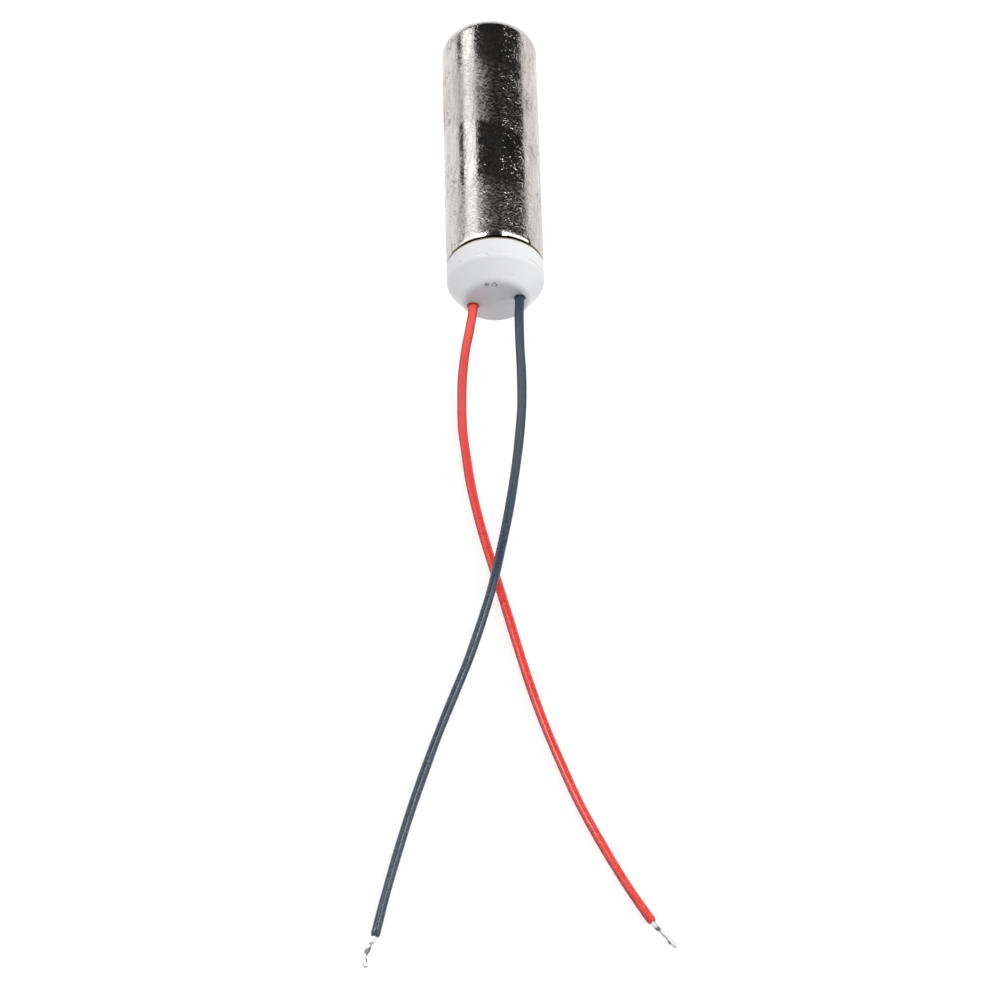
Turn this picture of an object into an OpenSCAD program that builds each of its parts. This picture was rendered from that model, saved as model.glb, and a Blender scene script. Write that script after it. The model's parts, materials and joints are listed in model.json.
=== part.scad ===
// Sealed cylindrical vibration motor with two flying leads.
// The motor lies on its side: its axis runs along Y, the closed end of the can
// points to +Y and the leads leave through the end cap towards -Y.
// The origin is on the surface that it lies on, under the middle of the body.

/* [Outer can] */
// Outside diameter of the can and of the end cap's band
can_d = 7.0; // [6.8:0.1:7.6]
// Length of the whole body, from the end cap's face to the closed end
body_len = 24.15; // [24:0.05:26]
// Sheet thickness of the can
can_wall = 0.28; // [0.22:0.01:0.3]
// Outside radius of the can's closed-end corner
can_corner_r = 1.2; // [0.8:0.1:1.6]
// Radius of the gentle bend that crimps the can's rim over the end cap
rim_curl_r = 1.2; // [1:0.05:1.3]

/* [End cap] */
// Length of the end cap that shows outside the can
cap_len = 3.25; // [3:0.05:3.4]
// Length of the cap's straight band next to the can
cap_band_len = 1.35; // [1.1:0.05:1.5]
// Radius of the cap's flat end face, inside its rounded rim
cap_face_r = 2.0; // [1.9:0.05:2.1]
// Thickness of the cap's end wall
cap_floor = 0.9; // [0.7:0.05:1]
// Diameter of the two lead holes
lead_hole_d = 0.8; // [0.75:0.05:0.9]

/* [Leads] */
// Diameter of a lead's insulation
jacket_d = 0.65; // [0.6:0.05:0.7]
// Diameter of a lead's tinned conductor
conductor_d = 0.36; // [0.3:0.02:0.4]
// Distance of the lead holes from the motor's axis
lead_pitch_r = 1.72; // [1.66:0.02:1.74]
// Turn of the line through both lead holes, about the motor's axis
lead_angle = 13; // [0:1:30]

/* [Inner motor] */
// Outside diameter of the inner motor's can
motor_d = 6.0; // [5.8:0.1:6]
// Sheet thickness of the inner motor's can
motor_wall = 0.25; // [0.2:0.01:0.3]
// Length of the inner motor's can
motor_len = 11.45; // [11.45:0.05:11.6]
// Outside diameter of the ring magnet
magnet_d = 4.2; // [3.8:0.1:4.2]
// Radial air gap on each side of the winding
air_gap = 0.15; // [0.12:0.01:0.2]

/* [Rotor] */
// Diameter of the shaft
shaft_d = 0.8; // [0.7:0.05:0.85]
// Radial running clearance of the shaft in its bearings
running_gap = 0.03; // [0.02:0.01:0.05]
// Outside diameter of the eccentric weight
weight_d = 5.7; // [5:0.1:5.8]
// Length of the eccentric weight
weight_len = 4.8; // [3.5:0.1:4.8]
// Diameter of the commutator
commutator_d = 2.3; // [2.1:0.1:2.4]

/* [Hidden] */

fine = 96;             // sides drawn on a turned part
eps = 0.01;            // gap between faces that are fitted together
overcut = 1;           // how far a cutter runs past what it cuts
can_r = can_d / 2;
bore_r = can_r - can_wall;
motor_r = motor_d / 2;
motor_bore_r = motor_r - motor_wall;
magnet_r = magnet_d / 2;
shaft_r = shaft_d / 2;
bearing_bore_r = shaft_r + running_gap;
press_r = shaft_r + 0.005;
commutator_r = commutator_d / 2;
weight_r = weight_d / 2;
jacket_r = jacket_d / 2;
conductor_r = conductor_d / 2;

// Stations along the axis, measured from the can's rim towards the closed end.
can_len = body_len - cap_len;
seam_y = cap_len - body_len / 2;
axis_z = can_r;
spigot_s = 2.2;                          // inner end of the cap's spigot
holder_s = 2.3;                          // outer face of the brush holder
motor_s = 2.75;                          // rear edge of the inner motor's can
motor_front_s = motor_s + motor_len;     // front face of the inner motor's can
commutator_s = 3.7;                      // rear end of the commutator bars
hub_s = 5.0;                             // rear face of the hub's disc
winding_s = 5.5;                         // rear end of the winding
winding_len = 7.9;
magnet_s = 6.9;
magnet_len = motor_front_s - motor_wall - 0.05 - magnet_s;
rear_bearing_s = 6.55;
bearing_len = 1.6;
front_bearing_s = motor_front_s + 0.5 - bearing_len;
washer_t = 0.2;
weight_s = motor_front_s + 0.8;
shaft_s = 3.35;                          // rear end of the shaft
shaft_end_s = weight_s + weight_len + 0.3;
jacket_s = -0.3;                         // inner end of the insulation
conductor_s = 2.25;                      // inner end of the conductor

// Radii inside the motor.
tube_r = 0.95;
tube_bore_r = 0.76;
tab_x = lead_pitch_r + 0.19;             // inner face of a terminal's tab
tab_t = 0.15;
winding_r = magnet_r + air_gap;
winding_outer_r = motor_bore_r - air_gap;
hub_boss_r = commutator_r - 0.3;

// Where the leads pass through the cap, as [x, z] in the row's frame.
blue_hole = lead_pitch_r * [cos(lead_angle), sin(lead_angle)] + [0, axis_z];
red_hole = -lead_pitch_r * [cos(lead_angle), sin(lead_angle)] + [0, axis_z];

// The route of each lead's insulation: straight out of the cap, down to the
// surface and along it. The blue lead passes over the red one.
red_route = concat(
    [[red_hole[0], seam_y + jacket_s, red_hole[1]],
     [red_hole[0], seam_y - cap_len, red_hole[1]]],
    [[-1.9, -13.6, 2.75], [-2.3, -15.4, 2.15], [-2.55, -17.1, 1.45], [-2.65, -18.9, 0.82],
     [-2.65, -20.8, 0.45], [-2.5, -22.6, 0.33], [-2.15, -25.8, 0.33], [-1.6, -29.0, 0.33],
     [-0.85, -32.4, 0.33], [-0.05, -35.8, 0.33], [0.8, -39.5, 0.33], [1.6, -42.8, 0.33],
     [2.5, -46.0, 0.33], [3.55, -49.2, 0.33], [4.7, -52.4, 0.33], [6.1, -55.6, 0.33],
     [7.6, -58.7, 0.33], [9.15, -61.5, 0.33]]);
blue_route = concat(
    [[blue_hole[0], seam_y + jacket_s, blue_hole[1]],
     [blue_hole[0], seam_y - cap_len, blue_hole[1]]],
    [[1.6, -13.8, 3.82], [1.6, -16.0, 3.4], [1.65, -18.1, 2.85], [1.6, -20.4, 2.25],
     [1.35, -22.9, 1.72], [0.95, -25.8, 1.36], [0.45, -28.8, 1.12], [-0.15, -31.8, 1.03],
     [-0.8, -34.8, 1.03], [-1.6, -37.6, 0.87], [-2.6, -40.6, 0.55], [-3.6, -43.2, 0.35],
     [-4.7, -46.2, 0.33], [-5.8, -49.5, 0.33], [-6.8, -52.7, 0.33], [-7.7, -55.9, 0.33],
     [-8.5, -59.0, 0.33], [-9.2, -62.0, 0.33]]);
// The bare ends that go on from the insulation.
red_bare = [[9.7, -62.2, 0.26], [10.15, -62.8, 0.22], [10.65, -63.4, 0.2]];
blue_bare = [[-9.55, -62.7, 0.26], [-9.9, -63.5, 0.21], [-9.8, -64.3, 0.2]];

// ---- Helpers ----

// Points of an arc about a centre, from one angle to another.
function arc(centre, r, from, to, steps = 8) =
    [for (i = [0 : steps]) let (a = from + (to - from) * i / steps)
        centre + r * [cos(a), sin(a)]];

// A point on the smooth curve through b and c, whose neighbours are a and d.
function spline_point(a, b, c, d, t) =
    0.5 * ((2 * b) + (c - a) * t + (2 * a - 5 * b + 4 * c - d) * t * t
           + (3 * b - a - 3 * c + d) * t * t * t);

// A route with one more point halfway along each of its spans.
function smooth(route) = let (last = len(route) - 1) concat(
    [for (i = [0 : last - 1], t = [0, 0.5])
        spline_point(route[max(i - 1, 0)], route[i], route[i + 1], route[min(i + 2, last)], t)],
    [route[last]]);

function unit(v) = v / norm(v);

// A ring of points about one point of a path, square to it.
function ring(path, i, r, sides) = let (
    last = len(path) - 1,
    ahead = unit(path[min(i + 1, last)] - path[max(i - 1, 0)]),
    side = unit(cross(ahead, [0, 0, 1])),
    over = cross(side, ahead))
    [for (k = [0 : sides - 1]) let (a = 360 * (k + 0.5) / sides)
        path[i] + r * (cos(a) * side + sin(a) * over)];

// A solid rod along a path.
module rod(path, r, sides = 8) {
    rings = len(path);
    points = [for (i = [0 : rings - 1]) each ring(path, i, r, sides)];
    walls = [for (i = [0 : rings - 2], k = [0 : sides - 1]) let (n = (k + 1) % sides)
        [i * sides + k, i * sides + n, (i + 1) * sides + n, (i + 1) * sides + k]];
    near = [for (k = [sides - 1 : -1 : 0]) k];
    far = [for (k = [0 : sides - 1]) (rings - 1) * sides + k];
    polyhedron(points, concat([near], walls, [far]), convexity = 10);
}

// A tube along a path, open at both ends.
module hose(path, r, bore, sides = 8) {
    rings = len(path);
    inner = rings * sides;
    points = concat([for (i = [0 : rings - 1]) each ring(path, i, r, sides)],
                    [for (i = [0 : rings - 1]) each ring(path, i, bore, sides)]);
    walls = [for (i = [0 : rings - 2], k = [0 : sides - 1]) let (n = (k + 1) % sides)
        [i * sides + k, i * sides + n, (i + 1) * sides + n, (i + 1) * sides + k]];
    lining = [for (f = walls) [for (j = [3 : -1 : 0]) f[j] + inner]];
    end = (rings - 1) * sides;
    near = [for (k = [0 : sides - 1]) let (n = (k + 1) % sides) [inner + k, inner + n, n, k]];
    far = [for (k = [0 : sides - 1]) let (n = (k + 1) % sides)
        [end + k, end + n, inner + end + n, inner + end + k]];
    polyhedron(points, concat(near, walls, lining, far), convexity = 10);
}

// Puts a shape drawn along Z on the motor's axis, at a station from the rim.
module on_axis(s = 0) {
    translate([0, seam_y + s, axis_z]) rotate([-90, 0, 0]) children();
}

// A body of revolution from its outline of [radius, station] points.
module turned(outline) {
    on_axis() rotate_extrude($fn = fine) polygon(outline);
}

// A plain ring between two stations.
module bush(outer, bore, from, to) {
    turned([[bore, from], [outer, from], [outer, to], [bore, to]]);
}

// The blue lead's side of the cap is at +X; the red one's is half a turn round.
module at_lead(red) {
    on_axis() rotate([0, 0, (red ? 180 : 0) - lead_angle]) children();
}

// ---- Housing ----

module outer_can() {
    corner = [can_r - can_corner_r, can_len - can_corner_r];
    curl_turn = 24;                        // how far round the rim is bent, in degrees
    edge_r = can_wall / 2;                 // the sheet's edge is fully rounded
    reach = rim_curl_r - edge_r;
    curl = [can_r - rim_curl_r, eps + edge_r + reach * sin(curl_turn)];
    edge = curl + reach * [cos(curl_turn), -sin(curl_turn)];
    color("silver") turned(concat(
        [[0, can_len]],
        arc(corner, can_corner_r, 90, 0, 12),
        arc(curl, rim_curl_r, 0, -curl_turn),
        arc(edge, edge_r, -curl_turn - 15, -165 - curl_turn, 10),
        arc(curl, rim_curl_r - can_wall, -curl_turn, 0),
        arc(corner, can_corner_r - can_wall, 0, 90, 12),
        [[0, can_len - can_wall]]));
}

module end_cap() {
    face_s = -cap_len;
    rim_r = 0.6;        // rounding of the face's rim
    shoulder_r = 0.8;   // rounding between the cone and the band
    edge_r = 0.22;      // rounding of the band's corner at the can
    spigot_r = bore_r - eps;
    neck_r = spigot_r - 0.11;
    groove_r = spigot_r - 0.3;
    cup_r = bore_r - 0.67;
    cavity_s = face_s + cap_floor;
    rim = [cap_face_r, face_s + rim_r];
    shoulder = [can_r - shoulder_r, -cap_band_len];
    cone = shoulder - rim;
    // Direction in which the cone faces: it touches both rounded edges.
    cone_turn = atan2(cone[1], cone[0]) - acos((rim_r - shoulder_r) / norm(cone));
    color("white") difference() {
        turned(concat(
            [[0, face_s]],
            arc(rim, rim_r, -90, cone_turn, 6),
            arc(shoulder, shoulder_r, cone_turn, 0, 6),
            arc([can_r - edge_r, -edge_r], edge_r, 0, 90, 4),
            [[neck_r, 0], [neck_r, 0.25], [spigot_r, 0.6],
             [spigot_r, 1.0], [groove_r, 1.0], [groove_r, 1.5], [spigot_r, 1.5],
             [spigot_r, spigot_s], [cup_r, spigot_s], [cup_r, cavity_s + 0.9],
             [cup_r - 0.4, cavity_s], [0, cavity_s]]));
        for (hole = [red_hole, blue_hole])
            translate([hole[0], seam_y + face_s - overcut, hole[1]]) rotate([-90, 0, 0])
                cylinder(d = lead_hole_d, h = cap_floor + overcut + 0.2, $fn = 48);
    }
}

// Cured bead of sealant in the groove of the cap's spigot.
module cap_sealant() {
    color("gainsboro") bush(bore_r - eps / 2, bore_r - 0.31 + eps, 1.0 + eps, 1.5 - eps);
}

// Cured potting that seals both leads inside the cap.
module lead_potting() {
    cavity_s = cap_floor - cap_len;
    cup_r = bore_r - 0.67;
    top_s = cavity_s + 1.5;
    color("whitesmoke") difference() {
        turned([[0, cavity_s + eps], [cup_r - 0.4 - eps, cavity_s + eps],
                [cup_r - eps, cavity_s + 0.9 + eps], [cup_r - eps, top_s], [0, top_s - 0.15]]);
        for (hole = [red_hole, blue_hole])
            translate([hole[0], seam_y + cavity_s - overcut, hole[1]]) rotate([-90, 0, 0])
                cylinder(r = jacket_r + 0.005, h = 1.5 + 2 * overcut, $fn = 32);
    }
}

// Thin wrap that holds the inner motor tight in the outer can.
module insulating_sleeve() {
    color("ivory") bush(bore_r - eps, motor_r + eps, motor_s - 0.15, motor_front_s - 0.6);
}

module motor_can() {
    corner_r = 0.5;
    corner = [motor_r - corner_r, motor_front_s - corner_r];
    color("lightgray") turned(concat(
        [[tube_r + eps, motor_front_s]],
        arc(corner, corner_r, 90, 0, 6),
        [[motor_r, motor_s], [motor_bore_r, motor_s]],
        arc(corner, corner_r - motor_wall, 0, 90, 4),
        [[tube_r + eps, motor_front_s - motor_wall]]));
}

// Brass tube pressed into the can's front wall: it carries the magnet and bearings.
module bearing_tube() {
    collar_r = tube_r + 0.35;
    color("goldenrod") turned([
        [tube_bore_r, magnet_s], [tube_r, magnet_s], [tube_r, motor_front_s + eps],
        [collar_r, motor_front_s + eps], [collar_r, motor_front_s + 0.25],
        [collar_r - 0.1, motor_front_s + 0.35], [tube_bore_r, motor_front_s + 0.35]]);
}

module front_bearing() {
    color("peru") bush(tube_bore_r - 0.005, bearing_bore_r,
                       front_bearing_s, front_bearing_s + bearing_len);
}

module rear_bearing() {
    color("peru") bush(tube_bore_r - 0.005, bearing_bore_r,
                       rear_bearing_s, rear_bearing_s + bearing_len);
}

module magnet() {
    chamfer = 0.12;
    inner = tube_r + eps;
    top = magnet_s + magnet_len;
    color("dimgray") turned([
        [inner, magnet_s], [magnet_r - chamfer, magnet_s], [magnet_r, magnet_s + chamfer],
        [magnet_r, top - chamfer], [magnet_r - chamfer, top], [inner, top]]);
}

// Moulded rear plug of the inner motor, with a slot for each terminal.
module brush_holder() {
    flange_r = motor_r - 0.02;
    plug_r = motor_bore_r - 0.02;
    color("darkslategray") difference() {
        turned([[0, holder_s], [flange_r, holder_s], [flange_r, motor_s - eps],
                [plug_r, motor_s - eps], [plug_r, 4.5], [plug_r - 0.38, 4.5],
                [plug_r - 0.38, holder_s + 0.6], [0, holder_s + 0.6]]);
        for (red = [true, false])
            at_lead(red)
                translate([tab_x - 0.05, -0.46, holder_s - overcut])
                    cube([tab_t + 0.1, 0.92, 0.6 + 2 * overcut]);
    }
}

// Stamped tab: its tail stands out of the holder and its foot carries the brush.
module terminal(red) {
    color("khaki") at_lead(red) {
        translate([tab_x, -0.4, 1.5]) cube([tab_t, 0.8, 1.6]);
        translate([tab_x, -1.05, holder_s + 0.6 + eps]) cube([tab_t, 1.45, 1.5]);
    }
}

module positive_terminal() { terminal(true); }

module negative_terminal() { terminal(false); }

// Leaf spring brush of two fingers, welded to the terminal's foot, that rides
// on the side of the commutator.
module brush(red) {
    leaf = 0.08;
    foot_x = tab_x - 0.005;
    near = commutator_r + 0.03;
    color("gold") at_lead(red) difference() {
        translate([0, 0, 3.7]) linear_extrude(0.8) polygon([
            [foot_x - leaf, -1.03], [foot_x, -1.03], [foot_x, -0.7],
            [near + leaf, -0.2], [near + leaf, 0.45], [near + leaf + 0.15, 0.8],
            [near + 0.15, 0.8], [near, 0.45], [near, -0.22], [foot_x - leaf, -0.76]]);
        translate([near - overcut, -0.5, 4.03]) cube([2 * overcut, 2, 0.14]);
    }
}

module positive_brush() { brush(true); }

module negative_brush() { brush(false); }

// Solder round each conductor where it lies on its terminal's tail.
module solder_joints() {
    blob_r = 0.4;
    color("lightsteelblue") for (red = [true, false]) at_lead(red) difference() {
        translate([lead_pitch_r + 0.05, 0, conductor_s - blob_r]) sphere(r = blob_r, $fn = 32);
        translate([lead_pitch_r, 0, 0.9]) cylinder(r = conductor_r + 0.005, h = 2, $fn = 32);
        translate([tab_x - 0.02, -overcut, 0.9]) cube([overcut, 2 * overcut, 2]);
    }
}

// ---- Rotor ----

module shaft() {
    tip = 0.1;
    color("silver") turned([
        [0, shaft_s], [shaft_r - tip, shaft_s], [shaft_r, shaft_s + tip],
        [shaft_r, shaft_end_s - tip], [shaft_r - tip, shaft_end_s], [0, shaft_end_s]]);
}

// Self-supporting cup of enamelled copper wire, between the magnet and the can.
module winding() {
    color("chocolate") bush(winding_outer_r, winding_r, winding_s, winding_s + winding_len);
}

// Moulded plate that joins the winding and the commutator to the shaft.
module commutator_hub() {
    rim_r = winding_r - eps;
    color("saddlebrown") turned([
        [press_r, commutator_s - 0.1], [hub_boss_r, commutator_s - 0.1], [hub_boss_r, hub_s],
        [winding_outer_r, hub_s], [winding_outer_r, winding_s - eps], [rim_r, winding_s - eps],
        [rim_r, winding_s + 0.5], [rim_r - 0.3, winding_s + 0.5], [rim_r - 0.3, winding_s],
        [hub_boss_r, winding_s], [hub_boss_r, winding_s + 0.75], [press_r, winding_s + 0.75]]);
}

// Three copper bars, each with a riser out to the winding.
module commutator_bars() {
    bars = 3;
    slot = 0.16;
    bore = hub_boss_r + eps;
    riser_t = 0.12;
    bar_len = hub_s - eps - commutator_s;
    color("darkorange") on_axis(commutator_s) difference() {
        union() {
            cylinder(r = commutator_r, h = bar_len, $fn = fine);
            for (i = [0 : bars - 1])
                rotate([0, 0, 360 * i / bars])
                    translate([0, -0.3, bar_len - riser_t])
                        cube([winding_outer_r - 0.1, 0.6, riser_t]);
        }
        translate([0, 0, -overcut]) cylinder(r = bore, h = bar_len + 2 * overcut, $fn = fine);
        for (i = [0 : bars - 1])
            rotate([0, 0, 360 * (i + 0.5) / bars])
                translate([0, -slot / 2, -overcut])
                    cube([commutator_r + overcut, slot, bar_len + 2 * overcut]);
    }
}

// Solder dots that join the winding's taps to the risers.
module winding_taps() {
    color("lightsteelblue") for (i = [0 : 2])
        on_axis(hub_s - 0.13) rotate([0, 0, 120 * i]) translate([winding_r - 0.1, 0, 0])
            intersection() {
                sphere(r = 0.22, $fn = 24);
                translate([-0.5, -0.5, -0.5 - eps]) cube([1, 1, 0.5]);
            }
}

module front_washer() {
    from = front_bearing_s + bearing_len + 0.05;
    color("burlywood") bush(0.85, bearing_bore_r, from, from + washer_t);
}

module rear_washer() {
    to = rear_bearing_s - 0.05;
    color("burlywood") bush(hub_boss_r, bearing_bore_r, to - washer_t, to);
}

// Half-round tungsten weight that hangs below the shaft at rest.
module eccentric_weight() {
    hub_r = 1.15;
    flat = 0.25;     // how far the half disc reaches above the axis
    color("gray") on_axis(weight_s) difference() {
        union() {
            intersection() {
                cylinder(r = weight_r, h = weight_len, $fn = fine);
                translate([-weight_r - overcut, -flat, -overcut])
                    cube([2 * (weight_r + overcut), weight_r + flat + overcut,
                          weight_len + 2 * overcut]);
            }
            cylinder(r = hub_r, h = weight_len, $fn = fine);
        }
        translate([0, 0, -overcut]) cylinder(r = press_r, h = weight_len + 2 * overcut, $fn = fine);
    }
}

// ---- Leads ----

module jacket(route) {
    hose(smooth(route), jacket_r, conductor_r + 0.02);
}

// The conductor starts on its terminal and shares the jacket's own rings.
module conductor(route, bare) {
    start = [route[0][0], seam_y + conductor_s, route[0][2]];
    rod(concat([start], smooth(route), bare), conductor_r);
}

module red_jacket() { color("red") jacket(red_route); }

module red_conductor() { color("silver") conductor(red_route, red_bare); }

module blue_jacket() { color("midnightblue") jacket(blue_route); }

module blue_conductor() { color("silver") conductor(blue_route, blue_bare); }

// ---- Nodes ----

outer_can();
end_cap();
cap_sealant();
lead_potting();
insulating_sleeve();
motor_can();
bearing_tube();
front_bearing();
rear_bearing();
magnet();
brush_holder();
positive_terminal();
negative_terminal();
positive_brush();
negative_brush();
solder_joints();
shaft();
winding();
commutator_hub();
commutator_bars();
winding_taps();
front_washer();
rear_washer();
eccentric_weight();
red_jacket();
red_conductor();
blue_jacket();
blue_conductor();
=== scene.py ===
"""The looks of a sealed cylindrical vibration motor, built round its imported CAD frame.

The motor lies along Y with its closed end towards +Y. Sizes are in metres unless a name ends in
_MM. The material nodes work in millimetres, so that their scales read as features per millimetre.
"""
import json
import math

import bmesh
import bpy
from mathutils import Matrix, Vector


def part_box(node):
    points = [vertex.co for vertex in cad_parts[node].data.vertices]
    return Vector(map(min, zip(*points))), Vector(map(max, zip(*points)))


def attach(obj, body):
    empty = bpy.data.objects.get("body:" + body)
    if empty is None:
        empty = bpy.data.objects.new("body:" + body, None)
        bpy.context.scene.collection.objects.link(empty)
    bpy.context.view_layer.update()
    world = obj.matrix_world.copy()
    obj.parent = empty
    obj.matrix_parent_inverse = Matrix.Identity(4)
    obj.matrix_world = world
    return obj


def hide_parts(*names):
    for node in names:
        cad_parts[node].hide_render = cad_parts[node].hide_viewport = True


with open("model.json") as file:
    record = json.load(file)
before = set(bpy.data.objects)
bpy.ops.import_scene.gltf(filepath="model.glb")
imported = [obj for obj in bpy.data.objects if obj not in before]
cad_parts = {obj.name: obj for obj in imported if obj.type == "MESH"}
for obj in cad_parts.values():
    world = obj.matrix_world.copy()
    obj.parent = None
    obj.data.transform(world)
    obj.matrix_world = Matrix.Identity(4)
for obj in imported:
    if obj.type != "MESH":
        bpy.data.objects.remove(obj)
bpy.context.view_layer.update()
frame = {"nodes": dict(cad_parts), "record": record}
MM = 0.001

# ---- Places and sizes ----

# From the frame: the body's outside.
MOUNTS = {m["name"]: m for m in frame["record"]["mounts"]}
GRIP = MOUNTS["body_grip"]
CAN_R = GRIP["dims"]["r_mm"] * MM
AXIS_Z = GRIP["pos_m"][2]
CLOSED_Y = MOUNTS["closed_end"]["pos_m"][1]
FACE_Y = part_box("end_cap")[0].y
WALL_END_Y = GRIP["pos_m"][1] + GRIP["dims"]["length_mm"] * MM / 2
CORNER_R = CLOSED_Y - WALL_END_Y

# As in the CAD source: the can and its rim, which is bent inwards by CURL_TURN degrees.
CAP_LEN = 3.25 * MM
SEAM_Y = FACE_Y + CAP_LEN
FIT_GAP = 0.01 * MM
CAN_WALL = 0.28 * MM
BORE_R = CAN_R - CAN_WALL
CURL_R = 1.2 * MM
CURL_TURN = 24

# The cap, with a band next to the seam, a cone and a face, and its two holes.
BAND_LEN = 1.35 * MM
SHOULDER_R = 0.8 * MM
FACE_R = 2.0 * MM
FACE_RIM_R = 0.6 * MM
CAP_FLOOR = 0.9 * MM
CUP_CHAMFER_R = 0.4 * MM
CUP_CHAMFER_LEN = 0.9 * MM
HOLE_R = 0.4 * MM
HOLE_PITCH_R = 1.72 * MM
LEAD_ANGLE = math.radians(13)
HOLE_X = HOLE_PITCH_R * math.cos(LEAD_ANGLE)
HOLE_Z = HOLE_PITCH_R * math.sin(LEAD_ANGLE)
RED_HOLE = Vector((-HOLE_X, FACE_Y, AXIS_Z - HOLE_Z))
BLUE_HOLE = Vector((HOLE_X, FACE_Y, AXIS_Z + HOLE_Z))

# The leads and the inner motor.
JACKET_R = 0.325 * MM
CONDUCTOR_R = 0.18 * MM
SHAFT_R = 0.4 * MM
BEARING_BORE_R = 0.43 * MM
TUBE_SEAT_R = 0.96 * MM
PRESS_GAP = 0.005 * MM
LATHE_SIDES = 192


# ---- Mesh helpers ----

def arc(centre, radius, start, end, steps=8):
    """Points of an arc in an outline, from one angle to another, in degrees."""
    turns = [math.radians(start + (end - start) * i / steps) for i in range(steps + 1)]
    return [(centre[0] + radius * math.cos(a), centre[1] + radius * math.sin(a)) for a in turns]


def round_turns(sides):
    """The angles of a circle's points, in radians."""
    return [2 * math.pi * k / sides for k in range(sides)]


def new_object(name, mesh_data, material, smooth_deg=35):
    """Shades a bmesh smooth, but for edges sharper than the angle, and makes it an object."""
    mesh = bpy.data.meshes.new(name)
    bmesh.ops.recalc_face_normals(mesh_data, faces=mesh_data.faces)
    for face in mesh_data.faces:
        face.smooth = True
    for edge in mesh_data.edges:
        edge.smooth = edge.calc_face_angle(0) < math.radians(smooth_deg)
    mesh_data.to_mesh(mesh)
    mesh_data.free()
    mesh.materials.append(material)
    piece = bpy.data.objects.new(name, mesh)
    bpy.context.scene.collection.objects.link(piece)
    return piece


def supported(outline, closed):
    """Adds a point close to each end of every long stretch, so that flats are shaded flat."""
    gap = 0.05 * MM
    points = [Vector(p) for p in outline]
    made = []
    for i, a in enumerate(points):
        made.append(a)
        b = points[(i + 1) % len(points)]
        step = b - a
        if (closed or i + 1 < len(points)) and step.length > 4 * gap:
            made += [a + step * gap / step.length, b - step * gap / step.length]
    return made


def lathe_mesh(outline, sides=LATHE_SIDES, closed=True, relief=None):
    """A body of revolution about the motor's axis. The outline's points are (radius, y).

    relief(radius, y, angle) gives the radius where the body isn't quite round. Angle 0 is up.
    """
    mesh_data = bmesh.new()
    rings = []
    for radius, y in supported(outline, closed):
        if radius == 0:
            rings.append([mesh_data.verts.new((0, y, AXIS_Z))] * sides)
            continue
        ring = []
        for angle in round_turns(sides):
            r = relief(radius, y, angle) if relief else radius
            ring.append(mesh_data.verts.new((r * math.sin(angle), y, AXIS_Z + r * math.cos(angle))))
        rings.append(ring)
    count = len(rings) if closed else len(rings) - 1
    for i in range(count):
        a, b = rings[i], rings[(i + 1) % len(rings)]
        for k in range(sides):
            corners = []
            for vertex in (a[k], b[k], b[(k + 1) % sides], a[(k + 1) % sides]):
                if vertex not in corners:
                    corners.append(vertex)
            if len(corners) > 2:
                mesh_data.faces.new(corners)
    return mesh_data


def rounded(low, high, edge):
    """The outline of a ring's section between two corners (radius, y), with its edges rounded."""
    steps = 3
    return (arc((low[0] + edge, low[1] + edge), edge, 180, 270, steps)
            + arc((high[0] - edge, low[1] + edge), edge, -90, 0, steps)
            + arc((high[0] - edge, high[1] - edge), edge, 0, 90, steps)
            + arc((low[0] + edge, high[1] - edge), edge, 90, 180, steps))


def spline(route, steps):
    """A smooth curve through every point of a route."""
    points = []
    last = len(route) - 1
    for i in range(last):
        a, b, c, d = (route[j] for j in (max(i - 1, 0), i, i + 1, min(i + 2, last)))
        for k in range(steps):
            t = k / steps
            points.append(0.5 * (2 * b + (c - a) * t + (2 * a - 5 * b + 4 * c - d) * t * t
                                 + (3 * b - a - 3 * c + d) * t ** 3))
    points.append(route[last])
    return points


def frames_along(path):
    """Each point of a path with two unit vectors square to it, which don't twist."""
    last = len(path) - 1
    side = None
    frames = []
    for i, point in enumerate(path):
        ahead = (path[min(i + 1, last)] - path[max(i - 1, 0)]).normalized()
        if side is None:
            side = ahead.cross(Vector((0, 0, 1))).normalized()
        side = (side - ahead * side.dot(ahead)).normalized()
        frames.append((point, side, side.cross(ahead)))
    return frames


def join_rings(mesh_data, a, b):
    """Faces between two rings of the same number of points."""
    for k in range(len(a)):
        mesh_data.faces.new((a[k], a[(k + 1) % len(a)], b[(k + 1) % len(a)], b[k]))


def sweep(mesh_data, path, radius, sides):
    """Sweeps rings along a path. radius(i, angle) is that of the path's ring i at one angle."""
    rings = [[mesh_data.verts.new(point + radius(i, a) * (math.cos(a) * side + math.sin(a) * over))
              for a in round_turns(sides)]
             for i, (point, side, over) in enumerate(frames_along(path))]
    for a, b in zip(rings, rings[1:]):
        join_rings(mesh_data, a, b)
    return rings


# ---- Material helpers ----

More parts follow.
